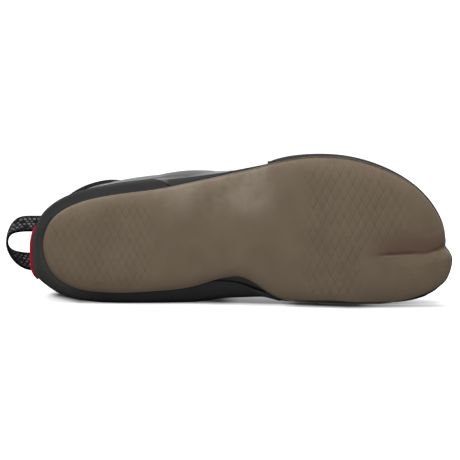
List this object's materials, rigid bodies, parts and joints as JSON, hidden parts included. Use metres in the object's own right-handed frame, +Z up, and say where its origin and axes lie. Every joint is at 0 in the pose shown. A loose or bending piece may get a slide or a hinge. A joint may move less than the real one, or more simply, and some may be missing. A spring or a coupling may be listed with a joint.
{
  "type": "surf boot",
  "caption": "Right split-toe surf boot in black neoprene with a brown rubber sole, dark rand, red heel patch and webbing pull loop, lying on its inner side.",
  "frame": {"origin": "centre of the bounding box in X and Y, on the floor that the boot lies on", "axes": "+X from the heel to the toe, +Y from the sole's underside to the collar, +Z up from the floor, through the inner side of the foot to its outer side"},
  "size_m": [0.305, 0.1522, 0.1001],
  "materials": {
    "gum_rubber": "matt moulded brown rubber with a fine diamond tread",
    "black_rubber": "satin charcoal rubber",
    "neoprene": "black foamed neoprene faced with jersey",
    "footbed": "dark foam with a knitted face",
    "red_rubber": "satin red rubber",
    "webbing": "black and grey woven tape"
  },
  "bodies": {
    "root": {"outsole": "gum_rubber", "insole": "footbed", "upper": "neoprene", "heel_rand": "black_rubber", "side_rand": "black_rubber", "toe_rand": "black_rubber", "heel_patch": "red_rubber", "pull_loop": "webbing"}
  },
  "joints": []
}
